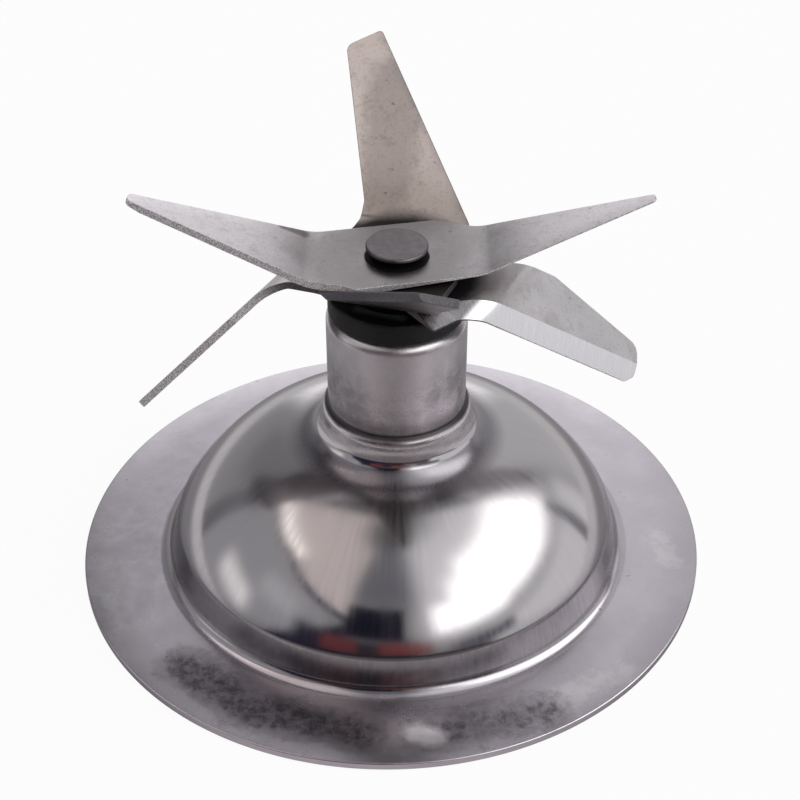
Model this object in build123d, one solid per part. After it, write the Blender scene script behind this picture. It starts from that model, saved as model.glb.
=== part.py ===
"""Blender blade assembly: a drawn steel base with a bearing neck, and a riveted stack of three
two-armed blades that turns on a shaft with a square drive socket under the dome.
Millimetres. The origin is the centre of the flange's underside, +Z runs up the shaft, and the
top blade's arms lie along X.
"""
from math import acos, atan2, cos, degrees, hypot, radians, sin
import os

from build123d import *

# Shaft and the bush around it, which set the neck
SHAFT_R = 3.175              # shaft radius, 1/4 inch stock
BUSH_WALL = 2.525            # radial thickness between shaft and neck

# Drawn base
SHEET = 0.8                  # base sheet thickness
FLANGE_R = 30.5              # flange outside radius
FOOT_FILLET = 1.3            # concave bend between flange and wall
WALL_R = 21.45               # top of the steep wall, outside radius
WALL_TOP = 4.05              # height where the wall turns into the dome
WALL_LEAN = 15.0             # degrees that the wall leans inwards
SHOULDER_R = 2.5             # bend between wall and dome
SHOULDER_TURN = 30.0         # degrees from upright at the end of that bend
DOME_R = 19.5                # dome arc, outside radius
DOME_FILLET = 3.0            # concave bend from dome to collar
NECK_R = SHAFT_R + BUSH_WALL + SHEET
NECK_BEND = 0.4              # concave bend into the neck
COLLAR_STEP = 0.55           # how far the collar stands out from the neck
COLLAR_R = NECK_R + COLLAR_STEP
COLLAR_H = 0.4               # straight part of the collar
COLLAR_BEND = 0.95           # convex bend above the collar
RIM_TOP = 27.9               # top of the curled rim
RIM_BEND = 0.95              # rim curl, outside radius
RIM_LIP = 0.65               # flat lip inside the curl
RIM_BORE = NECK_R - RIM_BEND - RIM_LIP

# Bearings and seals in the neck
RUN_FIT = 0.03               # radial running clearance of shaft in bush
SEAL_FIT = 0.05              # radial clearance of shaft in seal parts
UPPER_BUSH_L = 4.2
BUSH_EDGE = 0.35             # chamfer on the bush's edges
FELT_L = 2.0
FELT_FIT = 0.1               # radial gap of the felt in the neck
FELT_BORE_FIT = 0.3          # radial gap of the shaft in the felt
LOWER_FLANGE_T = 1.0         # flange of the lower bush
LOWER_FLANGE_FIT = 0.15      # radial gap of that flange in the collar
LOWER_FLANGE_R = COLLAR_R - SHEET - LOWER_FLANGE_FIT
SEAL_T = 1.7                 # rubber ring height
SEAL_RIM_FIT = 0.15          # radial gap of the rubber ring in the rim
SEAL_R = RIM_BORE - SEAL_RIM_FIT
WASHER_INSET = 0.2           # how far the green washer stays inside the neck's side
WASHER_R = NECK_R - WASHER_INSET
WASHER_T = 2.25
WASHER_TOP = RIM_TOP + WASHER_T
WASHER_EDGE = 0.3            # rounding of its edges

# Blade stack
BLADE_T = 0.7                # blade sheet thickness
SPACER_T = 0.7               # spacer under the plates
SPACER_R = 4.7
SHIM_T = 0.6                 # shim between lower and raised plate
SHIM_R = 4.2
STACK_GAP = 0.25             # running gap from washer to spacer
TENON_R = 2.2                # riveted end that carries the plates
TENON_FLAT = 1.75            # half distance over its two driving flats
TENON_FIT = 0.03
HEAD_R = 2.8                 # riveted head, spread over a narrower stem
HEAD_H = 1.0
HEAD_LIP = 0.42              # thickness of the spread lip
HEAD_EDGE = 0.15
STEM_R = 2.35
EDGE_LAND = 0.12             # thickness left at a ground edge

# Plates: half of the hub's outline in plan, and the arm's outline on its slope as (u, v) with u
# along the slope from the fold and v along the fold. Corner radii follow the points.
TOP_FOLD = 7.5               # fold's distance from the shaft
TOP_ANGLE = 20.6             # degrees of rise
TOP_BEND = 5.0               # bend radius on the plate's top
TOP_GRIND = 1.7              # width of the ground strip, underneath
TOP_HUB = [(-3.55, -5.95), (8.7, -3.2), (8.7, 4.75), (4.7, 5.4)]
TOP_HUB_RADII = [0.3, 0, 0, 0.8]
TOP_ARM = [(-1.2, -3.72), (16.3, -0.02), (16.6, 1.15), (1.6, 4.55), (-1.2, 4.98)]
TOP_ARM_RADII = [0, 0.3, 0.5, 1.5, 0]
TOP_EDGE = [(-1.2, -3.72), (18.0, 0.34)]
TOP_HUB_EDGES = [[(-4.5, -6.16), (8.0, -3.36)]]                                # ground on the hub
RAISED_TURN = 76.0           # degrees in plan from the top blade to the raised fold
RAISED_FOLD = 6.6
RAISED_ANGLE = 37.0          # degrees of rise
RAISED_BEND = 1.2
RAISED_GRIND = 1.2           # ground underneath
RAISED_HUB = [(-6.95, -5.07), (3.11, -7.58), (3.5, -7.0), (3.9, -5.97), (5.23, -3.05)]
RAISED_HUB_RADII = [0.3, 0.3, 0.4, 0.6, 0.6]
RAISED_ARM = [(-1.0, -6.17), (19.35, 7.0), (17.2, 10.05), (1.6, 5.1), (-1.0, 5.15)]
RAISED_ARM_RADII = [0, 0.4, 0.9, 1.0, 0]
RAISED_EDGE = [(-1.0, -6.17), (21.5, 8.39)]
LOWER_TURN = -27.5           # degrees in plan from the top blade to the lower fold
LOWER_FOLD = 9.16
LOWER_ANGLE = -50.0          # degrees, falling
LOWER_BEND = 2.6
LOWER_GRIND = 2.1            # ground on top
LOWER_HUB = [(0.0, -4.3), (3.1, -8.5), (5.2, -6.8), (6.95, -6.6),
             (11.75, 2.2), (9.67, 1.76), (7.35, 2.48), (4.7, 3.6)]
LOWER_HUB_RADII = [0.8, 0.25, 1.2, 0, 0, 1.0, 1.0, 0.8]
LOWER_ARM = [(-1.08, -3.62), (16.08, 10.79), (16.48, 12.2), (14.68, 15.0),
             (3.42, 10.1), (-0.38, 7.6), (-1.08, 7.15)]
LOWER_ARM_RADII = [0, 0.9, 0.9, 1.2, 2.0, 0, 0]
LOWER_EDGE = [(-1.98, -4.38), (18.22, 12.59)]
LOWER_HUB_EDGES = [[(2.3, -9.15), (5.4, -6.64)], [(4.6, -6.87), (8.2, -6.46)]]  # ground on the hub

# Drive end
THRUST_T = 0.9
THRUST_R = 5.4
THRUST_GAP = 0.15
THRUST_FIT = 0.05            # radial gap of the shaft in the thrust washer
COUPLING_R = 7.0
COUPLING_EDGE = 0.5          # chamfer of its edges
COUPLING_BOTTOM = 2.6        # recess of the coupling above the flange plane
COUPLING_TOP = 10.9          # top of the wide part
BOSS_R = 4.9
SOCKET = 8.0                 # square socket over its flats
SOCKET_DEPTH = 6.6
SOCKET_CORNER = 1.0
SOCKET_LEAD = 0.6            # lead-in at the socket's mouth
SPIGOT_R = 2.5               # shaft end pressed into the coupling

LOW = (Align.CENTER, Align.CENTER, Align.MIN)


def chain(start, heading, moves, shift):
    """Edges of a tangent chain in the (r, z) plane, moved sideways to the left by shift.
    A move is ("line", length) or ("arc", radius, degrees), with degrees positive to the left."""
    x, z = start
    a = radians(heading)
    x -= shift * sin(a)
    z += shift * cos(a)
    edges = []
    for move in moves:
        if move[0] == "line":
            end = (x + move[1] * cos(a), z + move[1] * sin(a))
            edges.append(Line((x, z), end))
        else:
            turn = radians(move[2])
            side = 1 if turn > 0 else -1
            r = move[1] - side * shift
            cx = x - side * r * sin(a)
            cz = z + side * r * cos(a)
            mid = a + turn / 2
            end = (cx + side * r * sin(a + turn), cz - side * r * cos(a + turn))
            edges.append(ThreePointArc((x, z), (cx + side * r * sin(mid), cz - side * r * cos(mid)), end))
            a += turn
        x, z = end
    return edges, (x, z)


def turned(face_edges):
    """Solid of revolution about Z of a closed (r, z) outline."""
    return revolve(Plane.XZ * make_face(face_edges), Axis.Z)


def ring(outer, inner, bottom, top, edge=0.0):
    """Plain turned ring, with its outer edges rounded when edge is given."""
    height = top - bottom
    body = Pos(0, 0, bottom) * (Cylinder(outer, height, align=LOW) - Cylinder(inner, height, align=LOW))
    if edge:
        rims = [e for e in body.edges().filter_by(GeomType.CIRCLE) if abs(e.radius - outer) < 1e-4]
        body = fillet(rims, edge)
    return body


def rounded(points, radii):
    """Closed outline through points, with each corner rounded by its radius."""
    count = len(points)
    ends = []
    for i in range(count):
        p, q, n = points[i], points[i - 1], points[(i + 1) % count]
        r = radii[i]
        if r <= 0:
            ends.append((p, p, None))
            continue
        a = Vector(q[0] - p[0], q[1] - p[1]).normalized()
        b = Vector(n[0] - p[0], n[1] - p[1]).normalized()
        half = acos(max(-1.0, min(1.0, a.dot(b)))) / 2
        reach = r / max(sin(half) / cos(half), 1e-6)
        middle = (a + b).normalized()
        deep = r / sin(half) - r
        ends.append(((p[0] + a.X * reach, p[1] + a.Y * reach), (p[0] + b.X * reach, p[1] + b.Y * reach),
                     (p[0] + middle.X * deep, p[1] + middle.Y * deep)))
    edges = []
    for i in range(count):
        first, last, mid = ends[i]
        if mid:
            edges.append(ThreePointArc(first, mid, last))
        edges.append(Line(last, ends[(i + 1) % count][0]))
    return make_face(edges)


def driven_hole(radius, flat, height):
    """Round hole with two flats, as a cutting body standing on z = 0."""
    return Cylinder(radius, height, align=LOW) & Box(3 * radius, 2 * flat, height, align=LOW)


def blade(bottom, azimuth, fold_at, rise, bend, hub, hub_radii, arm, arm_radii,
          edge_line, grind, grind_on_top, hub_edges=()):
    """Two-armed plate, the same after half a turn.
    azimuth points across the fold, fold_at is the fold's distance from the shaft on the plate's top,
    and rise is the arm's angle in degrees. hub is the outline in plan; arm is the outline on the
    arm's top, with u along its slope from the fold and v along the fold. edge_line holds the two
    ends of the ground edge in (u, v), hub_edges those on the hub in plan, and grind is the width of
    the ground strip."""
    t = BLADE_T
    side = 1 if rise > 0 else -1
    a = radians(abs(rise))
    inside = bend if rise > 0 else bend + t
    trim = inside * sin(a / 2) / cos(a / 2)
    far = 40.0
    moves = [("line", far), ("arc", inside, rise), ("line", 2 * (fold_at - trim)),
             ("arc", inside, rise), ("line", far)]
    start_s = -fold_at - (trim + far) * cos(a)
    start_z = side * (trim + far) * sin(a)
    top_edges, top_end = chain((start_s, start_z), -rise, moves, 0.0)
    low_edges, low_end = chain((start_s, start_z), -rise, moves, -t)
    first = Line(top_edges[0] @ 0, low_edges[0] @ 0)
    last = Line(top_edges[-1] @ 1, low_edges[-1] @ 1)
    section = make_face(top_edges + low_edges + [first, last])
    strip = extrude(Plane.XZ * section, 40, both=True)
    strip = Rot(0, 0, azimuth) * strip

    deep = t - EDGE_LAND
    slope = deep / grind
    spare = 0.6
    if grind_on_top:
        tri = [(grind, 0), (-spare, -deep - spare * slope), (-spare, 1), (grind, 1)]
    else:
        tri = [(grind, -t), (-spare, -EDGE_LAND + spare * slope), (-spare, -t - 1), (grind, -t - 1)]
    prism = extrude(Pos(0, 0, -2.5 * t) * rounded(hub, hub_radii), 4 * t)
    shapes = [prism]
    wedges = []
    for turn in (0, 180):
        frame = Rot(0, 0, azimuth + turn) * Pos(fold_at, 0, 0) * Rot(0, -rise, 0)
        outline = rounded(arm, arm_radii)
        shapes.append(frame * extrude(Pos(0, 0, -2.5 * t) * outline, 4 * t))
        lines = [(frame, edge_line)] + [(Rot(0, 0, turn), line) for line in hub_edges]
        for place, ((u0, v0), (u1, v1)) in lines:
            heading = degrees(atan2(v1 - v0, u1 - u0))
            length = hypot(u1 - u0, v1 - v0)
            wedge = extrude(Plane.YZ * Polygon(*tri, align=None), length, dir=(1, 0, 0))
            wedges.append(place * Pos(u0, v0, 0) * Rot(0, 0, heading) * wedge)
    body = strip & (shapes[0] + shapes[1] + shapes[2])
    for wedge in wedges:
        body -= wedge
    hole = Pos(0, 0, -2 * t) * driven_hole(TENON_R + TENON_FIT, TENON_FLAT + TENON_FIT, 4 * t)
    return Pos(0, 0, bottom + t) * (body - hole)


# Heights of the stack
SPACER_Z = WASHER_TOP + STACK_GAP
LOWER_Z = SPACER_Z + SPACER_T
SHIM_Z = LOWER_Z + BLADE_T
RAISED_Z = SHIM_Z + SHIM_T
TOP_Z = RAISED_Z + BLADE_T
HEAD_Z = TOP_Z + BLADE_T

# Drawn base
shoulder_x = WALL_R - SHOULDER_R * (cos(radians(WALL_LEAN)) - cos(radians(SHOULDER_TURN)))
dome_x = shoulder_x - DOME_R * cos(radians(SHOULDER_TURN))
dome_end = degrees(acos((COLLAR_R + DOME_FILLET - dome_x) / (DOME_R + DOME_FILLET)))
neck_turn = degrees(acos(1 - (COLLAR_R - NECK_R) / (COLLAR_BEND + NECK_BEND)))
wall_rise = WALL_TOP - SHEET - FOOT_FILLET * (1 - sin(radians(WALL_LEAN)))
wall_run = wall_rise * sin(radians(WALL_LEAN)) / cos(radians(WALL_LEAN))
root_r = WALL_R + wall_run + FOOT_FILLET * cos(radians(WALL_LEAN))
lower_moves = [("line", FLANGE_R - root_r),
               ("arc", FOOT_FILLET, WALL_LEAN - 90),
               ("line", hypot(wall_rise, wall_run)),
               ("arc", SHOULDER_R, SHOULDER_TURN - WALL_LEAN),
               ("arc", DOME_R, dome_end - SHOULDER_TURN),
               ("arc", DOME_FILLET, -dome_end),
               ("line", COLLAR_H),
               ("arc", COLLAR_BEND, neck_turn),
               ("arc", NECK_BEND, -neck_turn)]
neck_edges, neck_start = chain((FLANGE_R, SHEET), 180, lower_moves, 0.0)
neck_foot = neck_start[1]
all_moves = lower_moves + [("line", RIM_TOP - RIM_BEND - neck_foot),
                           ("arc", RIM_BEND, 90),
                           ("line", NECK_R - RIM_BEND - RIM_BORE)]
outer_edges, outer_end = chain((FLANGE_R, SHEET), 180, all_moves, 0.0)
inner_edges, inner_end = chain((FLANGE_R, SHEET), 180, all_moves, SHEET)
flange_edge = Line(outer_edges[0] @ 0, inner_edges[0] @ 0)
rim_edge = Line(outer_edges[-1] @ 1, inner_edges[-1] @ 1)
base_shell = turned(outer_edges + inner_edges + [flange_edge, rim_edge])

# Bearings and seals
bore_r = SHAFT_R + BUSH_WALL
collar_foot = neck_foot - (NECK_BEND + COLLAR_BEND) * sin(radians(neck_turn)) - COLLAR_H
upper_top = RIM_TOP - SHEET
upper_bottom = upper_top - UPPER_BUSH_L
felt_bottom = upper_bottom - FELT_L
flange_top = collar_foot + COLLAR_H
flange_bottom = flange_top - LOWER_FLANGE_T
upper_bush = ring(bore_r, SHAFT_R + RUN_FIT, upper_bottom, upper_top)
upper_bush = chamfer(upper_bush.edges().filter_by(GeomType.CIRCLE), BUSH_EDGE)
oil_felt = ring(bore_r - FELT_FIT, SHAFT_R + FELT_BORE_FIT, felt_bottom, upper_bottom)
lower_bush = (ring(bore_r, SHAFT_R + RUN_FIT, flange_top, felt_bottom)
              + ring(LOWER_FLANGE_R, SHAFT_R + RUN_FIT, flange_bottom, flange_top))
shaft_seal = ring(SEAL_R, SHAFT_R + SEAL_FIT, upper_top, upper_top + SEAL_T)
washer_seat = upper_top + SEAL_T
seal_washer = (ring(WASHER_R, SHAFT_R + SEAL_FIT, RIM_TOP, WASHER_TOP, WASHER_EDGE)
               - Pos(0, 0, RIM_TOP) * Cylinder(RIM_BORE, washer_seat - RIM_TOP, align=LOW))

# Drive end
thrust_top = flange_bottom - THRUST_GAP
thrust_bottom = thrust_top - THRUST_T
thrust_washer = ring(THRUST_R, SHAFT_R + THRUST_FIT, thrust_bottom, thrust_top)
body = Pos(0, 0, COUPLING_BOTTOM) * Cylinder(COUPLING_R, COUPLING_TOP - COUPLING_BOTTOM, align=LOW)
body = chamfer(body.edges().filter_by(GeomType.CIRCLE), COUPLING_EDGE)
boss = Pos(0, 0, COUPLING_TOP) * Cylinder(BOSS_R, thrust_bottom - COUPLING_TOP, align=LOW)
socket = extrude(RectangleRounded(SOCKET, SOCKET, SOCKET_CORNER), SOCKET_DEPTH)
web_bottom = COUPLING_BOTTOM + SOCKET_DEPTH
wide_side = SOCKET + 2 * SOCKET_LEAD
wide = RectangleRounded(wide_side, wide_side, SOCKET_CORNER + SOCKET_LEAD)
narrow = RectangleRounded(SOCKET, SOCKET, SOCKET_CORNER)
mouth = loft([Pos(0, 0, COUPLING_BOTTOM) * wide, Pos(0, 0, COUPLING_BOTTOM + SOCKET_LEAD) * narrow])
drive_coupling = (body + boss - Pos(0, 0, COUPLING_BOTTOM) * socket - mouth
                  - Pos(0, 0, web_bottom) * Cylinder(SPIGOT_R, 20, align=LOW))

# Shaft with its tenon, riveted head and pressed spigot
tenon_h = HEAD_Z - SPACER_Z
journal = Pos(0, 0, thrust_bottom) * Cylinder(SHAFT_R, SPACER_Z - thrust_bottom, align=LOW)
spigot = Pos(0, 0, web_bottom) * Cylinder(SPIGOT_R, thrust_bottom - web_bottom, align=LOW)
tenon = Pos(0, 0, SPACER_Z) * driven_hole(TENON_R, TENON_FLAT, tenon_h)
stem = Pos(0, 0, HEAD_Z) * Cylinder(STEM_R, HEAD_H - HEAD_LIP, align=LOW)
head = Pos(0, 0, HEAD_Z + HEAD_H - HEAD_LIP) * Cylinder(HEAD_R, HEAD_LIP, align=LOW)
head = fillet(head.edges().filter_by(GeomType.CIRCLE), HEAD_EDGE)
shaft = journal + spigot + tenon + stem + head

# Blade stack
def stack_ring(radius, thickness, bottom):
    """Flat ring on the tenon, driven by its flats."""
    hole = driven_hole(TENON_R + TENON_FIT, TENON_FLAT + TENON_FIT, thickness)
    return Pos(0, 0, bottom) * (Cylinder(radius, thickness, align=LOW) - hole)


blade_spacer = stack_ring(SPACER_R, SPACER_T, SPACER_Z)
blade_shim = stack_ring(SHIM_R, SHIM_T, SHIM_Z)


def both(points):
    """Half an outline followed by the same half turned half round."""
    return points + [(-x, -y) for x, y in points]


top_blade = blade(TOP_Z, 0.0, TOP_FOLD, TOP_ANGLE, TOP_BEND, both(TOP_HUB), TOP_HUB_RADII * 2,
                  TOP_ARM, TOP_ARM_RADII, TOP_EDGE, TOP_GRIND, False, TOP_HUB_EDGES)
raised_blade = blade(RAISED_Z, RAISED_TURN, RAISED_FOLD, RAISED_ANGLE, RAISED_BEND, both(RAISED_HUB),
                     RAISED_HUB_RADII * 2, RAISED_ARM, RAISED_ARM_RADII, RAISED_EDGE, RAISED_GRIND, False)
lower_blade = blade(LOWER_Z, LOWER_TURN, LOWER_FOLD, LOWER_ANGLE, LOWER_BEND, both(LOWER_HUB),
                    LOWER_HUB_RADII * 2, LOWER_ARM, LOWER_ARM_RADII, LOWER_EDGE, LOWER_GRIND, True,
                    LOWER_HUB_EDGES)

parts = {
    "base_shell": base_shell,
    "upper_bush": upper_bush,
    "oil_felt": oil_felt,
    "lower_bush": lower_bush,
    "shaft_seal": shaft_seal,
    "seal_washer": seal_washer,
    "shaft": shaft,
    "blade_spacer": blade_spacer,
    "blade_shim": blade_shim,
    "lower_blade": lower_blade,
    "raised_blade": raised_blade,
    "top_blade": top_blade,
    "thrust_washer": thrust_washer,
    "drive_coupling": drive_coupling,
}

os.makedirs("parts", exist_ok=True)
for name, shape in parts.items():
    solids = shape.solids()
    if len(solids) != 1:
        raise ValueError(f"{name} has {len(solids)} solids")
    export_step(solids[0], f"parts/{name}.step")
    box = shape.bounding_box()
    print(f"{name:16s} {shape.volume:9.2f} mm3  z {box.min.Z:7.2f} to {box.max.Z:7.2f}")
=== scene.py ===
from math import acos, cos, degrees, hypot, pi, radians, sin, tan

import bmesh
import bpy
from mathutils import Matrix, Vector


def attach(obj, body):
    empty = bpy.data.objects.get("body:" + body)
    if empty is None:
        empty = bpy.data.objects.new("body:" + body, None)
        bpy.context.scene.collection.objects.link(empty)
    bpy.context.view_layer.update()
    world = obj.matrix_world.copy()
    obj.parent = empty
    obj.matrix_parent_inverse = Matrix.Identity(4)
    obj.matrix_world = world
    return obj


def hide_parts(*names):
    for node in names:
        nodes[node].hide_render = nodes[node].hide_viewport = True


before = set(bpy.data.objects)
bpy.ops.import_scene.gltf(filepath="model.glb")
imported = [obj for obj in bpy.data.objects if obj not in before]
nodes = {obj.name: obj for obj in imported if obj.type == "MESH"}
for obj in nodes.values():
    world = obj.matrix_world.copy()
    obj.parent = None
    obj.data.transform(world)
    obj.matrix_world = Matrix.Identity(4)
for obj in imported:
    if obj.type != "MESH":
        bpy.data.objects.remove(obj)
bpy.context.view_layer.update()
scene = bpy.context.scene
MM = 0.001

# Sizes of the base, in millimetres and degrees
SHEET = 0.8
FLANGE_R = 30.5
FOOT_FILLET = 1.3
WALL_R, WALL_TOP, WALL_LEAN = 21.45, 4.05, 15.0
SHOULDER_R, SHOULDER_TURN = 2.5, 30.0
DOME_R, DOME_FILLET = 19.5, 3.0
NECK_R, NECK_BEND = 6.5, 0.4
COLLAR_R, COLLAR_H, COLLAR_BEND = 7.05, 0.4, 0.95
RIM_TOP, RIM_BEND, RIM_LIP = 27.9, 0.95, 0.65
SHEET_EDGE = 0.16
BASE_SEGMENTS = 256

# Sizes of the blades
BLADE_T = 0.7
EDGE_LAND = 0.12
RIM_ROUND = 0.05
FOLD_CUTS = 16
HOLE_R, HOLE_FLAT, HOLE_STEPS = 2.23, 1.78, 12
TOP_Z, RAISED_Z, LOWER_Z = 33.8, 33.1, 31.8      # upper faces of the plates
RUN_ON_ROOT, RUN_ON_TIP = 1.5, 3.0               # the ground line runs on past both ends of the edge
SHARP_DEGREES = 9


def linear(code):
    """Linear colour with alpha from an sRGB hex value."""
    parts = [int(code[i:i + 2], 16) / 255 for i in (1, 3, 5)]
    return [c / 12.92 if c <= 0.04045 else ((c + 0.055) / 1.055) ** 2.4 for c in parts] + [1.0]


def add(tree, kind, inputs=(), **settings):
    """A node with its settings and its inputs, by name or number, or as a list in order. An input is
    a value, a socket to link, or a node, which is linked by its first output in use."""
    node = tree.nodes.new(kind)
    for name, value in settings.items():
        setattr(node, name, value)
    for key, value in inputs.items() if isinstance(inputs, dict) else enumerate(inputs):
        if isinstance(value, bpy.types.Node):
            value = next(socket for socket in value.outputs if socket.enabled)
        if isinstance(value, bpy.types.NodeSocket):
            tree.links.new(value, node.inputs[key])
        else:
            node.inputs[key].default_value = value
    return node


# Kinds of nodes that are used often, and two settings that go with them
MATH = "ShaderNodeMath"
VECTOR = "ShaderNodeVectorMath"
RANGE = "ShaderNodeMapRange"
MIX = "ShaderNodeMix"
NOISE = "ShaderNodeTexNoise"
BUMP = "ShaderNodeBump"
SPLIT = "ShaderNodeSeparateXYZ"
NAMED = "ShaderNodeAttribute"
WHOLE = "FunctionNodeIntegerMath"
SMOOTH = {"interpolation_type": "SMOOTHSTEP"}
COLOUR = {"data_type": "RGBA"}


# Materials. A noise's Scale is one over the width of its cells in millimetres.

def start_material(name):
    """New material with an empty tree, and its Object coordinates in millimetres."""
    mat = bpy.data.materials.new(name)
    mat.use_nodes = True
    tree = mat.node_tree
    tree.nodes.clear()
    where = add(tree, "ShaderNodeTexCoord")
    mm = add(tree, VECTOR, {0: where.outputs["Object"], "Scale": 1000.0}, operation="SCALE")
    return mat, tree, mm


def finish_material(tree, colour, roughness, bump, **sockets):
    """Principled shader on what was made, with its other sockets by name."""
    inputs = {"Base Color": colour, "Roughness": roughness, "Normal": bump}
    shader = add(tree, "ShaderNodeBsdfPrincipled", inputs | sockets)
    add(tree, "ShaderNodeOutputMaterial", {"Surface": shader.outputs["BSDF"]})


def near_line(tree, vector, a, b, reach):
    """1 on the line from a to b in millimetres, falling to 0 at reach."""
    a, b = Vector(a), Vector(b)
    along = (b - a).normalized()
    offset = add(tree, VECTOR, [vector, a], operation="SUBTRACT")
    run = add(tree, VECTOR, [offset, along], operation="DOT_PRODUCT")
    held = add(tree, "ShaderNodeClamp", [run, 0.0, (b - a).length])
    foot = add(tree, VECTOR, {0: along, "Scale": held}, operation="SCALE")
    gap = add(tree, VECTOR, [offset, foot], operation="DISTANCE")
    return add(tree, RANGE, [gap, reach, 0.0], **SMOOTH)


def drawn_stainless():
    """Stainless sheet, deep drawn and spun: a bright, faintly streaked dome, a satin flange that is
    stained and scuffed by use, and a mottled neck."""
    mat, tree, mm = start_material("drawn_stainless")
    xyz = add(tree, SPLIT, [mm])
    z = xyz.outputs["Z"]
    flat = add(tree, VECTOR, [mm, (1, 1, 0)], operation="MULTIPLY")
    radius = add(tree, VECTOR, [flat], operation="LENGTH")
    outward = add(tree, VECTOR, [flat], operation="NORMALIZE")
    flange = add(tree, MATH, [
        add(tree, RANGE, [z, 1.25, 0.95], **SMOOTH),
        add(tree, RANGE, [radius, 22.2, 22.8], **SMOOTH)], operation="MULTIPLY")
    neck = add(tree, RANGE, [z, 15.5, 15.85], **SMOOTH)
    wall = add(tree, MATH, [
        add(tree, RANGE, [z, 5.7, 3.7], **SMOOTH),
        add(tree, RANGE, [z, 1.0, 1.4], **SMOOTH)], operation="MULTIPLY")
    # meridian streaks, 0.5 mm apart at the wall and long from foot to top
    ray = add(tree, VECTOR, {0: outward, "Scale": 22.0}, operation="SCALE")
    climb = add(tree, "ShaderNodeCombineXYZ", {2: z})
    meridian = add(tree, VECTOR, [ray, climb], operation="ADD")
    streaks = add(tree, NOISE, {
        "Vector": add(tree, VECTOR, [meridian, (1, 1, 1 / 9)], operation="MULTIPLY"),
        "Scale": 1 / 0.55, "Detail": 3.0, "Roughness": 0.6})
    scores = add(tree, NOISE, {
        "Vector": add(tree, VECTOR, [meridian, (1, 1, 1 / 12)], operation="MULTIPLY"),
        "Scale": 1 / 0.22, "Detail": 2.0, "Roughness": 0.6})
    # broad smears, pits and the fine tooth of worn sheet
    smear = add(tree, NOISE, {"Vector": mm, "Scale": 1 / 6.0, "Detail": 4.0, "Roughness": 0.6})
    mottle = add(tree, NOISE, {"Vector": mm, "Scale": 1 / 1.6, "Detail": 5.0, "Roughness": 0.65})
    tooth = add(tree, NOISE, {"Vector": mm, "Scale": 1 / 0.25, "Detail": 3.0, "Roughness": 0.6})
    pits = add(tree, RANGE, [
        add(tree, NOISE, {"Vector": mm, "Scale": 1 / 0.8, "Detail": 1.0, "Roughness": 0.5}),
        0.76, 0.82], **SMOOTH)

    # stains on the flange, darkest at the front left, and rubbed lighter places on the right
    stain_run = add(tree, MATH, [
        near_line(tree, mm, (-19.5, -18, SHEET), (-14, -23, SHEET), 4.2),
        near_line(tree, mm, (-14.0, -23.5, SHEET), (-3, -27, SHEET), 3.8)], operation="MAXIMUM")
    stain_run = add(tree, MATH, [
        stain_run,
        add(tree, MATH, [
            near_line(tree, mm, (3, -27, SHEET), (13, -24.5, SHEET), 5.0),
            0.8], operation="MULTIPLY")], operation="MAXIMUM")
    ragged = add(tree, NOISE, {"Vector": mm, "Scale": 1 / 3.0, "Detail": 6.0, "Roughness": 0.72})
    blotch = add(tree, MATH, [
        stain_run, add(tree, MATH, [ragged, 1.3], operation="MULTIPLY")], operation="ADD")
    stain = add(tree, MATH, [
        add(tree, MATH, [add(tree, RANGE, [blotch, 0.85, 1.15], **SMOOTH), 0.45], operation="MULTIPLY"),
        add(tree, MATH, [
            add(tree, RANGE, [blotch, 1.15, 1.55], **SMOOTH),
            0.55], operation="MULTIPLY")], operation="ADD")
    rubbed_at = add(tree, MATH, [
        near_line(tree, mm, (26.5, -1, SHEET), (27.5, -5, SHEET), 3.2),
        near_line(tree, mm, (15, -23, SHEET), (21, -20, SHEET), 3.4)], operation="MAXIMUM")
    rubbed_at = add(tree, MATH, [
        rubbed_at,
        near_line(tree, mm, (-27.5, -9, SHEET), (-25.5, -13, SHEET), 2.0)], operation="MAXIMUM")
    flecks = add(tree, NOISE, {"Vector": mm, "Scale": 1.0, "Detail": 5.0, "Roughness": 0.75})
    rubbed = add(tree, RANGE, [
        add(tree, MATH, [
            add(tree, MATH, [rubbed_at, 0.5], operation="MULTIPLY"), flecks], operation="ADD"),
        0.76, 1.05], **SMOOTH)
    # all of it on the upper side
    upper = add(tree, RANGE, [z, 0.3, 0.6], **SMOOTH)
    stain = add(tree, MATH, [
        add(tree, MATH, [
            stain, add(tree, RANGE, [flecks, 0.36, 0.62, 1.0, 0.55], **SMOOTH)], operation="MULTIPLY"),
        upper], operation="MULTIPLY")
    rubbed = add(tree, MATH, [rubbed, upper], operation="MULTIPLY")
    # painted highlight: a bright spot of reflected light on the front of the flange, with a ragged edge
    painted_highlight_spot = add(tree, RANGE, [
        add(tree, MATH, [
            near_line(tree, mm, (1.6, -27.0, SHEET), (3.2, -27.6, SHEET), 2.4),
            add(tree, MATH, [flecks, 0.6], operation="MULTIPLY")], operation="ADD"), 0.55, 1.2], **SMOOTH)
    painted_highlight_spot = add(tree, MATH, [painted_highlight_spot, upper], operation="MULTIPLY")
    cloud = add(tree, RANGE, [smear, 0.36, 0.66], **SMOOTH)

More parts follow.
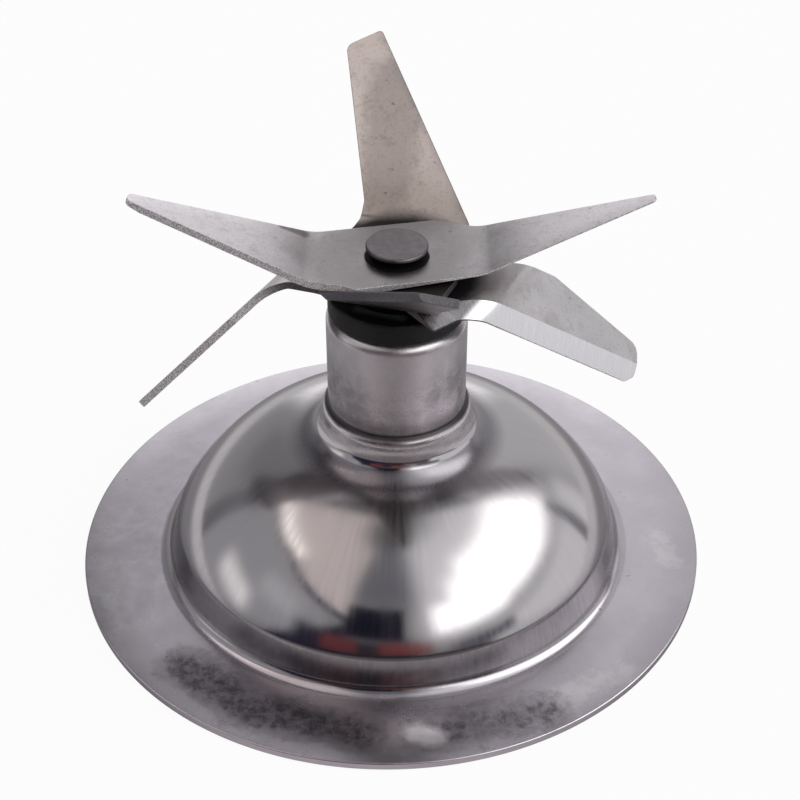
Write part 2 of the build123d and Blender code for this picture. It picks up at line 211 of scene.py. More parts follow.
    dome_colour = add(tree, MIX, {
        0: add(tree, MATH, [streaks, 0.2], operation="MULTIPLY"),
        6: linear("#d0ccce"), 7: linear("#a9a4a8")}, **COLOUR)
    flange_colour = add(tree, MIX, {0: cloud, 6: linear("#cec8cf"), 7: linear("#d6d0d6")}, **COLOUR)
    flange_colour = add(tree, MIX, {
        0: add(tree, MATH, [rubbed, 0.32], operation="MULTIPLY"),
        6: flange_colour, 7: linear("#f4f2f4")}, **COLOUR)
    flange_colour = add(tree, MIX, {
        0: add(tree, MATH, [stain, 0.9], operation="MULTIPLY"),
        6: flange_colour, 7: linear("#59555d")}, **COLOUR)
    flange_colour = add(tree, MIX, {0: painted_highlight_spot, 6: flange_colour, 7: linear("#f2f0f2")}, **COLOUR)
    neck_colour = add(tree, MIX, {
        0: add(tree, RANGE, [mottle, 0.35, 0.70], **SMOOTH),
        6: linear("#b8b2b4"), 7: linear("#dbd5d8")}, **COLOUR)
    # painted light: the neck's colour is lightened towards its top, where the blades shade it
    neck_colour = add(tree, MIX, {
        0: add(tree, RANGE, [z, 21.0, 26.0, 0.0, 0.6], **SMOOTH),
        6: neck_colour, 7: linear("#f8f3f6")}, **COLOUR)
    colour = add(tree, MIX, {0: flange, 6: dome_colour, 7: flange_colour}, **COLOUR)
    colour = add(tree, MIX, {0: neck, 6: colour, 7: neck_colour}, **COLOUR)
    colour = add(tree, MIX, {
        0: add(tree, MATH, [
            pits, add(tree, MATH, [flange, 0.5], operation="MULTIPLY")], operation="MULTIPLY"),
        6: colour, 7: linear("#3c393d")}, **COLOUR)
    wall_dark = add(tree, MATH, [
        wall, add(tree, RANGE, [scores, 0.4, 0.7, 0.46, 0.55], **SMOOTH)], operation="MULTIPLY")
    colour = add(tree, MIX, {0: wall_dark, 6: colour, 7: linear("#5f5a61")}, **COLOUR)
    # the collar is painted brighter, a painted sheen, and the neck's foot is painted darker, a painted
    # dark reflection
    collar = add(tree, MATH, [
        add(tree, RANGE, [z, 15.4, 15.8], **SMOOTH),
        add(tree, RANGE, [z, 17.7, 17.4], **SMOOTH)], operation="MULTIPLY")
    colour = add(tree, MIX, {
        0: add(tree, MATH, [collar, 0.55], operation="MULTIPLY"),
        6: colour, 7: linear("#f6f1f4")}, **COLOUR)
    # painted dark reflection: the neck's foot is darkened
    foot = add(tree, MATH, [
        add(tree, RANGE, [z, 20.0, 18.6], **SMOOTH),
        add(tree, RANGE, [z, 18.0, 18.3], **SMOOTH)], operation="MULTIPLY")
    colour = add(tree, MIX, {
        0: add(tree, MATH, [foot, 0.5], operation="MULTIPLY"), 6: colour, 7: linear("#5f595c")}, **COLOUR)
    # painted shade in the hollow under the collar and in the crease over it
    hollow = add(tree, MATH, [
        add(tree, RANGE, [z, 13.3, 13.9], **SMOOTH),
        add(tree, RANGE, [z, 15.05, 14.85], **SMOOTH)], operation="MULTIPLY")
    colour = add(tree, MIX, {
        0: add(tree, MATH, [hollow, 0.7], operation="MULTIPLY"),
        6: colour, 7: linear("#77727a")}, **COLOUR)
    crease = add(tree, MATH, [
        add(tree, RANGE, [z, 17.5, 17.8], **SMOOTH),
        add(tree, RANGE, [z, 18.35, 18.05], **SMOOTH)], operation="MULTIPLY")
    colour = add(tree, MIX, {
        0: add(tree, MATH, [crease, 0.88], operation="MULTIPLY"),
        6: colour, 7: linear("#2a2628")}, **COLOUR)

    rough = add(tree, MIX, {
        0: flange, 2: add(tree, RANGE, [streaks, 0.3, 0.7, 0.10, 0.15], **SMOOTH),
        3: add(tree, RANGE, [mottle, 0.3, 0.7, 0.22, 0.28], **SMOOTH)})
    rough = add(tree, MIX, {
        0: neck, 2: rough, 3: add(tree, RANGE, [mottle, 0.3, 0.7, 0.20, 0.30], **SMOOTH)})
    grainy = add(tree, MATH, [
        add(tree, RANGE, [z, 7.0, 12.0, 0.0, 0.06], **SMOOTH),
        add(tree, RANGE, [z, 15.0, 14.8], **SMOOTH)], operation="MULTIPLY")
    rough = add(tree, MATH, [
        rough,
        add(tree, MATH, [
            grainy,
            add(tree, MATH, [hollow, 0.10], operation="MULTIPLY")], operation="ADD")], operation="ADD")
    rough = add(tree, MATH, [rough, add(tree, MATH, [wall, 0.05], operation="MULTIPLY")], operation="ADD")
    rough = add(tree, MATH, [
        rough, add(tree, RANGE, [z, 21.0, 26.0, 0.0, 0.10], **SMOOTH)], operation="ADD")
    rough = add(tree, MATH, [
        rough, add(tree, MATH, [crease, 0.2], operation="MULTIPLY")], operation="ADD")

    uneven = add(tree, MATH, [
        add(tree, MATH, [mottle, 0.6], operation="MULTIPLY"),
        add(tree, MATH, [tooth, 0.25], operation="MULTIPLY")], operation="ADD")
    worn = add(tree, MATH, [
        add(tree, MATH, [flange, 0.25], operation="MULTIPLY"), neck], operation="MAXIMUM")
    height = add(tree, MATH, [
        uneven, add(tree, RANGE, [worn, 0.0, 1.0, 0.18, 1.4], **SMOOTH)], operation="MULTIPLY")
    height = add(tree, MATH, [
        height,
        add(tree, MATH, [
            add(tree, MATH, [scores, wall], operation="MULTIPLY"),
            0.15], operation="MULTIPLY")], operation="ADD")
    finish_material(
        tree, colour, rough, add(tree, BUMP, {"Height": height, "Distance": 0.02 * MM}), Metallic=1.0)
    return mat


def blade_stainless(name, hub, tip, patches, shade_reach=0.0, under_shade=0.0, side_shade=0.0):
    """Stamped blade sheet: fine-rolled satin faces, darker at the hub, with darker patches, bright
    ground edges whose marks run across the edge, and rough sheared sides. patches lists darker places as
    (from, to, reach, strength). The next argument is how far out the upper face is painted black, a
    painted shade between the plates; the last two darken the undersides and the sheared sides, a painted
    shade."""
    mat, tree, mm = start_material(name)
    under = add(tree, NAMED, attribute_name="under").outputs["Fac"]
    ground = add(tree, NAMED, attribute_name="ground").outputs["Fac"]
    sheared = add(tree, NAMED, attribute_name="sheared").outputs["Fac"]
    edge = add(tree, NAMED, attribute_name="edge_run").outputs["Vector"]
    plan = add(tree, NAMED, attribute_name="flat_mm").outputs["Vector"]
    out = add(tree, VECTOR, [plan], operation="LENGTH")
    smear = add(tree, NOISE, {"Vector": plan, "Scale": 1 / 4.5, "Detail": 4.0, "Roughness": 0.6})
    ragged = add(tree, NOISE, {"Vector": plan, "Scale": 1 / 1.5, "Detail": 5.0, "Roughness": 0.7})
    specks = add(tree, NOISE, {"Vector": plan, "Scale": 1 / 0.30, "Detail": 3.0, "Roughness": 0.65})
    dots = add(tree, RANGE, [
        add(tree, NOISE, {"Vector": plan, "Scale": 1 / 0.6, "Detail": 1.0, "Roughness": 0.5}),
        0.74, 0.80], **SMOOTH)
    rolled = add(tree, NOISE, {
        "Vector": add(tree, VECTOR, [plan, (1 / 9, 1, 1)], operation="MULTIPLY"),
        "Scale": 1 / 0.3, "Detail": 3.0, "Roughness": 0.6})
    away = add(tree, MATH, [
        add(tree, RANGE, [out, 4.0, 17.0], **SMOOTH),
        add(tree, MATH, [
            add(tree, MATH, [smear, 0.5], operation="SUBTRACT"),
            0.7], operation="MULTIPLY")], operation="ADD")
    colour = add(tree, MIX, {
        0: add(tree, RANGE, [away, 0.0, 1.0], **SMOOTH), 6: linear(hub), 7: linear(tip)}, **COLOUR)
    for start, end, reach, strength in patches:
        patch = add(tree, MATH, [
            near_line(tree, plan, start, end, reach),
            add(tree, MATH, [ragged, 0.9], operation="MULTIPLY")], operation="ADD")
        colour = add(tree, MIX, {
            0: add(tree, MATH, [
                add(tree, RANGE, [patch, 0.6, 1.25], **SMOOTH), strength], operation="MULTIPLY"),
            6: colour, 7: linear("#6a625e")}, **COLOUR)
    colour = add(tree, MIX, {
        0: add(tree, MATH, [
            add(tree, RANGE, [ragged, 0.52, 0.72], **SMOOTH), 0.22], operation="MULTIPLY"),
        6: colour, 7: linear("#6f6866")}, **COLOUR)
    colour = add(tree, MIX, {
        0: add(tree, MATH, [add(tree, RANGE, [specks, 0.5, 0.75], **SMOOTH), 0.28], operation="MULTIPLY"),
        6: colour, 7: linear("#76706f")}, **COLOUR)
    colour = add(tree, MIX, {
        0: add(tree, MATH, [dots, 0.4], operation="MULTIPLY"), 6: colour, 7: linear("#4b4746")}, **COLOUR)
    marks = add(tree, NOISE, {
        "Vector": add(tree, VECTOR, [edge, (1, 1 / 14, 1)], operation="MULTIPLY"),
        "Scale": 1 / 0.22, "Detail": 3.0, "Roughness": 0.6})
    bright = add(tree, MIX, {
        0: add(tree, RANGE, [marks, 0.3, 0.75], **SMOOTH),
        6: linear("#e6e3e6"), 7: linear("#efedef")}, **COLOUR)
    colour = add(tree, MIX, {0: ground, 6: colour, 7: bright}, **COLOUR)
    torn = add(tree, NOISE, {"Vector": mm, "Scale": 1 / 0.12, "Detail": 3.0, "Roughness": 0.6})
    side = add(tree, MIX, {
        0: add(tree, RANGE, [torn, 0.40, 0.60], **SMOOTH),
        6: linear("#b4afb2"), 7: linear("#f6f4f6")}, **COLOUR)
    # the sides near the hub are painted dark brown, a painted shade with soiling, near where the upper
    # face is painted shade
    side = add(tree, MIX, {
        0: add(tree, RANGE, [out, shade_reach + 7.0, shade_reach + 1.5, 0.0, 0.85], **SMOOTH),
        6: side, 7: linear("#35211f")}, **COLOUR)
    colour = add(tree, MIX, {0: sheared, 6: colour, 7: side}, **COLOUR)
    # painted shade: the undersides and the sheared sides are darkened
    shade_under_and_sides = add(tree, MATH, [
        add(tree, MATH, [under, under_shade], operation="MULTIPLY"),
        add(tree, MATH, [sheared, side_shade], operation="MULTIPLY")], operation="MAXIMUM")
    colour = add(tree, MIX, {0: shade_under_and_sides, 6: colour, 7: linear("#47444a")}, **COLOUR)
    # painted black: a ring round the rivet, a painted shadow under its head with soiling, and the upper
    # face near the hub, a painted shade between the plates
    wander = add(tree, MATH, [
        add(tree, MATH, [ragged, 0.5], operation="SUBTRACT"), 0.5], operation="MULTIPLY")
    ring = add(tree, VECTOR, [plan, (0.0, -0.42, 1.0)], operation="DISTANCE")
    dirt_and_shade = add(tree, RANGE, [
        add(tree, MATH, [ring, add(tree, MATH, [wander, 0.5], operation="MULTIPLY")], operation="ADD"),
        2.98, 2.82], **SMOOTH)
    # painted shade between the plates: the upper face near the hub is painted black
    if shade_reach:
        plates_shade = add(tree, RANGE, [
            add(tree, MATH, [out, add(tree, MATH, [wander, 2.0], operation="MULTIPLY")], operation="ADD"),
            shade_reach + 1.2, shade_reach - 0.6], **SMOOTH)
        open_side = add(tree, MATH, [
            1.0,
            add(tree, MATH, [
                add(tree, MATH, [under, sheared], operation="MAXIMUM"),
                ground], operation="MAXIMUM")], operation="SUBTRACT")
        dirt_and_shade = add(tree, MATH, [
            dirt_and_shade, add(tree, MATH, [plates_shade, open_side], operation="MULTIPLY")], operation="MAXIMUM")
    colour = add(tree, MIX, {
        0: add(tree, MATH, [dirt_and_shade, 0.93], operation="MULTIPLY"),
        6: colour, 7: linear("#0e0d0e")}, **COLOUR)
    rough = add(tree, MATH, [
        add(tree, RANGE, [smear, 0.3, 0.7, 0.24, 0.32], **SMOOTH),
        add(tree, MATH, [specks, 0.06], operation="MULTIPLY")], operation="ADD")
    rough = add(tree, MIX, {
        0: ground, 2: rough, 3: add(tree, RANGE, [marks, 0.3, 0.7, 0.24, 0.30], **SMOOTH)})
    rough = add(tree, MIX, {0: sheared, 2: rough, 3: 0.55})
    rough = add(tree, MATH, [rough, add(tree, MATH, [dirt_and_shade, 0.3], operation="MULTIPLY")], operation="ADD")
    height = add(tree, MATH, [
        add(tree, MATH, [specks, 0.5], operation="MULTIPLY"),
        add(tree, MATH, [rolled, 0.3], operation="MULTIPLY")], operation="ADD")
    height = add(tree, MIX, {
        0: ground, 2: height, 3: add(tree, MATH, [marks, 0.15], operation="MULTIPLY")})
    height = add(tree, MIX, {
        0: sheared, 2: height, 3: add(tree, MATH, [torn, 0.7], operation="MULTIPLY")})
    # torn sides are too rough to mirror
    finish_material(
        tree, colour, rough, add(tree, BUMP, {"Height": height, "Distance": 0.012 * MM}),
        Metallic=add(tree, RANGE, [sheared, 0.0, 1.0, 1.0, 0.5], **SMOOTH))
    return mat


def turned_metal(name, low, high, grain, rough, depth, pores=0.0, shade_and_grime=None):
    """Small metal part: uneven tone and a grain of the given size, with dark pores where it is sintered
    and, between the two heights given, a near-black band of painted shade with soiling."""
    mat, tree, mm = start_material(name)
    tone = add(tree, NOISE, {"Vector": mm, "Scale": 1 / (grain * 6), "Detail": 4.0, "Roughness": 0.6})
    grit = add(tree, NOISE, {"Vector": mm, "Scale": 1 / grain, "Detail": 3.0, "Roughness": 0.6})
    colour = add(tree, MIX, {
        0: add(tree, RANGE, [tone, 0.3, 0.7], **SMOOTH), 6: linear(low), 7: linear(high)}, **COLOUR)
    if pores:
        holes = add(tree, RANGE, [
            add(tree, NOISE, {"Vector": mm, "Scale": 1 / (grain * 1.6), "Detail": 1.0, "Roughness": 0.5}),
            0.62, 0.72], **SMOOTH)
        colour = add(tree, MIX, {
            0: add(tree, MATH, [holes, pores], operation="MULTIPLY"),
            6: colour, 7: linear("#2b2522")}, **COLOUR)
    roughness = add(tree, RANGE, [grit, 0.25, 0.75, rough - 0.06, rough + 0.08], **SMOOTH)
    # painted shade with soiling: near black between the two heights
    if shade_and_grime:
        z = add(tree, SPLIT, [mm]).outputs["Z"]
        dirt_and_shade = add(tree, MATH, [
            add(tree, RANGE, [z, shade_and_grime[1], shade_and_grime[1] - 0.06], **SMOOTH),
            add(tree, RANGE, [z, shade_and_grime[0], shade_and_grime[0] + 0.06], **SMOOTH)], operation="MULTIPLY")
        colour = add(tree, MIX, {
            0: add(tree, MATH, [dirt_and_shade, 0.95], operation="MULTIPLY"),
            6: colour, 7: linear("#121011")}, **COLOUR)
        roughness = add(tree, MATH, [
            roughness, add(tree, MATH, [dirt_and_shade, 0.25], operation="MULTIPLY")], operation="ADD")
    finish_material(
        tree, colour, roughness, add(tree, BUMP, {"Height": grit, "Distance": depth * MM}), Metallic=1.0)
    return mat


def dark_green_washer():
    """Moulded dark green washer: matt, slightly chalky skin with a fine moulded grain."""
    mat, tree, mm = start_material("moulded_green")
    tone = add(tree, NOISE, {"Vector": mm, "Scale": 1 / 2.2, "Detail": 4.0, "Roughness": 0.6})
    grain = add(tree, NOISE, {"Vector": mm, "Scale": 1 / 0.3, "Detail": 3.0, "Roughness": 0.6})
    colour = add(tree, MIX, {
        0: add(tree, RANGE, [tone, 0.35, 0.7], **SMOOTH),
        6: linear("#080d0b"), 7: linear("#0f1613")}, **COLOUR)
    # a painted pool of light on the upper face, where light falls between the blades
    painted_light_patch = add(tree, MATH, [
        near_line(tree, mm, (-3.4, -3.5, 30.15), (0.4, -4.8, 30.15), 0.9), 0.8], operation="MULTIPLY")
    colour = add(tree, MIX, {0: painted_light_patch, 6: colour, 7: linear("#6b736e")}, **COLOUR)
    finish_material(
        tree, colour, add(tree, RANGE, [grain, 0.3, 0.7, 0.42, 0.58], **SMOOTH),
        add(tree, BUMP, {"Height": grain, "Distance": 0.02 * MM}), IOR=1.5)
    return mat


def black_rubber():
    """Moulded nitrile rubber: matte black with a dusty bloom."""
    mat, tree, mm = start_material("nitrile_rubber")
    bloom = add(tree, NOISE, {"Vector": mm, "Scale": 1 / 1.2, "Detail": 4.0, "Roughness": 0.6})
    colour = add(tree, MIX, {
        0: add(tree, RANGE, [bloom, 0.4, 0.75], **SMOOTH),
        6: linear("#141414"), 7: linear("#262524")}, **COLOUR)
    finish_material(
        tree, colour, add(tree, RANGE, [bloom, 0.3, 0.7, 0.55, 0.7], **SMOOTH),
        add(tree, BUMP, {"Height": bloom, "Distance": 0.02 * MM}), IOR=1.5)
    return mat


def oiled_felt():
    """Pressed wool felt soaked in oil: brownish, with short crossed fibres."""
    mat, tree, mm = start_material("oiled_wool_felt")
    fibre = add(tree, NOISE, {
        "Vector": add(tree, VECTOR, [mm, (1, 1 / 4, 1)], operation="MULTIPLY"),
        "Scale": 1 / 0.18, "Detail": 4.0, "Roughness": 0.7})
    cross = add(tree, NOISE, {
        "Vector": add(tree, VECTOR, [mm, (1 / 4, 1, 1)], operation="MULTIPLY"),
        "Scale": 1 / 0.18, "Detail": 4.0, "Roughness": 0.7})
    nap = add(tree, MATH, [fibre, cross], operation="MAXIMUM")
    colour = add(tree, MIX, {
        0: add(tree, RANGE, [nap, 0.4, 0.75], **SMOOTH),
        6: linear("#6b5c45"), 7: linear("#a4957a")}, **COLOUR)
    finish_material(
        tree, colour, add(tree, RANGE, [nap, 0.3, 0.8, 0.75, 0.92], **SMOOTH),
        add(tree, BUMP, {"Height": nap, "Distance": 0.08 * MM}), IOR=1.45)
    return mat


# Round pieces: a profile turned about Z in Geometry Nodes

def trace(start, heading, moves, step):
    """Points of a tangent chain in the (r, z) plane, with the unit normal on its right side.
    A move is ("line", length) or ("arc", radius, degrees), with degrees positive to the left."""
    x, z = start
    a = radians(heading)
    rows = [(x, z, sin(a), -cos(a))]
    for move in moves:
        if move[0] == "line":
            # rows close to both ends keep the flat's shading true beside a bend
            cuts = sorted({min(0.06 / move[1], 0.5), 0.5, max(1 - 0.06 / move[1], 0.5), 1.0})
            rows += [(x + move[1] * k * cos(a), z + move[1] * k * sin(a), sin(a), -cos(a)) for k in cuts]
            x += move[1] * cos(a)
            z += move[1] * sin(a)
            continue
        turn = radians(move[2])
        side = 1 if turn > 0 else -1
        cx = x - side * move[1] * sin(a)
        cz = z + side * move[1] * cos(a)
        count = max(6, int(abs(turn) * move[1] / step), int(abs(move[2]) / 7))
        for k in range(1, count + 1):
            b = a + turn * k / count
            rows.append((cx + side * move[1] * sin(b), cz - side * move[1] * cos(b), sin(b), -cos(b)))
        a += turn
        x, z = rows[-1][:2]
    return rows


def lathe_tree():
    """Node tree that turns the mesh's own points, a closed profile, about Z."""
    tree = bpy.data.node_groups.new("turn_profile", "GeometryNodeTree")
    face = tree.interface
    face.new_socket("Geometry", in_out="INPUT", socket_type="NodeSocketGeometry")
    face.new_socket("Segments", in_out="INPUT", socket_type="NodeSocketInt")
    face.new_socket("Material", in_out="INPUT", socket_type="NodeSocketMaterial")
    face.new_socket("Geometry", in_out="OUTPUT", socket_type="NodeSocketGeometry")
    given = add(tree, "NodeGroupInput")
    profile = given.outputs["Geometry"]
    segments = given.outputs["Segments"]
    rows = add(tree, "GeometryNodeAttributeDomainSize", [profile]).outputs["Point Count"]
    columns = add(tree, WHOLE, [segments, 1], operation="ADD")
    sheet = add(tree, "GeometryNodeMeshGrid", {"Size X": 1.0, "Size Y": 1.0, "Vertices X": columns,
                                               "Vertices Y": rows}).outputs["Mesh"]
    index = add(tree, "GeometryNodeInputIndex")
    row = add(tree, WHOLE, [index, rows], operation="MODULO")
    column = add(tree, WHOLE, [index, rows], operation="DIVIDE_FLOOR")
    place = add(tree, "GeometryNodeInputPosition")
    point = add(tree, "GeometryNodeSampleIndex", {0: profile, 1: place, 2: row}, data_type="FLOAT_VECTOR",
                domain="POINT")
    share = add(tree, MATH, [column, segments], operation="DIVIDE")
    angle = add(tree, MATH, [share, 2 * pi], operation="MULTIPLY")
    turned = add(tree, "ShaderNodeVectorRotate", {"Vector": point, "Angle": angle}, rotation_type="Z_AXIS")
    placed = add(tree, "GeometryNodeSetPosition", {0: sheet, "Position": turned})
    closed = add(tree, "GeometryNodeMergeByDistance", {0: placed, "Distance": 0.002 * MM})
    smooth = add(tree, "GeometryNodeSetShadeSmooth", {0: closed, "Shade Smooth": True})
    real = add(tree, "GeometryNodeRealizeInstances", [smooth])
    dressed = add(tree, "GeometryNodeSetMaterial", {0: real, "Material": given.outputs["Material"]})
    add(tree, "NodeGroupOutput", [dressed])
    return tree


def turn_piece(name, profile, segments, material):
    """Plain mesh object turned from a closed (r, z) profile in millimetres."""
    points = bpy.data.meshes.new(name + "_profile")
    points.from_pydata([(r * MM, 0.0, z * MM) for r, z in profile], [], [])
    seed = bpy.data.objects.new(name + "_profile", points)
    scene.collection.objects.link(seed)
    work = seed.modifiers.new("turn", "NODES")
    work.node_group = turning
    keys = {item.name: item.identifier for item in turning.interface.items_tree if item.in_out == "INPUT"}
    work[keys["Segments"]] = segments
    work[keys["Material"]] = material
    mesh = bpy.data.meshes.new_from_object(seed.evaluated_get(bpy.context.evaluated_depsgraph_get()))
    bpy.data.objects.remove(seed)
    bpy.data.meshes.remove(points)
    work_mesh = bmesh.new()
    work_mesh.from_mesh(mesh)
    bmesh.ops.recalc_face_normals(work_mesh, faces=work_mesh.faces)
    work_mesh.to_mesh(mesh)
    work_mesh.free()
    mesh.name = name
    piece = bpy.data.objects.new(name, mesh)
    scene.collection.objects.link(piece)
    return piece


def round_corners(points, radii, steps=6):
    """Closed outline with its corners rounded."""
    out = []
    count = len(points)
    for i in range(count):
        p, before, after = Vector(points[i]), Vector(points[i - 1]), Vector(points[(i + 1) % count])
        if radii[i] <= 0:
            out.append(p)
            continue
        a, b = (before - p).normalized(), (after - p).normalized()
        half = acos(max(-1.0, min(1.0, a.dot(b)))) / 2
        middle = p + (a + b).normalized() * (radii[i] / sin(half))
        first = p + a * (radii[i] / tan(half)) - middle
        last = p + b * (radii[i] / tan(half)) - middle
        sweep = first.angle_signed(last)
        for k in range(steps + 1):
            t = -sweep * k / steps
            spoke = Vector((first.x * cos(t) - first.y * sin(t), first.x * sin(t) + first.y * cos(t)))
            out.append(middle + spoke)
    return out


lean = radians(WALL_LEAN)
shoulder_x = WALL_R - SHOULDER_R * (cos(lean) - cos(radians(SHOULDER_TURN)))
dome_x = shoulder_x - DOME_R * cos(radians(SHOULDER_TURN))
dome_end = degrees(acos((COLLAR_R + DOME_FILLET - dome_x) / (DOME_R + DOME_FILLET)))
neck_turn = degrees(acos(1 - (COLLAR_R - NECK_R) / (COLLAR_BEND + NECK_BEND)))
wall_rise = WALL_TOP - SHEET - FOOT_FILLET * (1 - sin(lean))
wall_run = wall_rise * tan(lean)
root_r = WALL_R + wall_run + FOOT_FILLET * cos(lean)
moves = [("line", FLANGE_R - root_r), ("arc", FOOT_FILLET, WALL_LEAN - 90),
         ("line", hypot(wall_rise, wall_run)),
         ("arc", SHOULDER_R, SHOULDER_TURN - WALL_LEAN), ("arc", DOME_R, dome_end - SHOULDER_TURN),
         ("arc", DOME_FILLET, -dome_end), ("line", COLLAR_H), ("arc", COLLAR_BEND, neck_turn),
         ("arc", NECK_BEND, -neck_turn)]
neck_foot = trace((FLANGE_R, SHEET), 180, moves, 1.0)[-1][1]
moves += [("line", RIM_TOP - RIM_BEND - neck_foot), ("arc", RIM_BEND, 90), ("line", RIM_LIP)]
skin = trace((FLANGE_R, SHEET), 180, moves, 0.35)
outside = [(r, z) for r, z, nr, nz in skin]
inside = [(r - SHEET * nr, z - SHEET * nz) for r, z, nr, nz in reversed(skin)]
loop = outside + inside
corner = [0.0] * len(loop)
for i in (0, len(outside) - 1, len(outside), len(loop) - 1):
    corner[i] = SHEET_EDGE
# the rows beside the four rounded corners make way for the rounding
crowd = {1, len(outside) - 2, len(outside) + 1, len(loop) - 2}
keep = [i for i in range(len(loop)) if i not in crowd]
base_profile = round_corners([loop[i] for i in keep], [corner[i] for i in keep])
base_profile.append(base_profile[0])

turning = lathe_tree()
steel_base = drawn_stainless()
base = turn_piece("drawn_base", base_profile, BASE_SEGMENTS, steel_base)
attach(base, "base")
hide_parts("base_shell")


# Blades: flat patterns, ground along their edges, cut across their folds and bent

def offset(points, distance):
    """Outline moved to its left by distance."""
    out = []
    count = len(points)
    for i in range(count):
        a = (points[i] - points[i - 1]).normalized()
        b = (points[(i + 1) % count] - points[i]).normalized()
        na, nb = Vector((-a.y, a.x)), Vector((-b.y, b.x))
        middle = (na + nb).normalized()
        out.append(points[i] + middle * (distance / max(middle.dot(na), 0.4)))
    return out


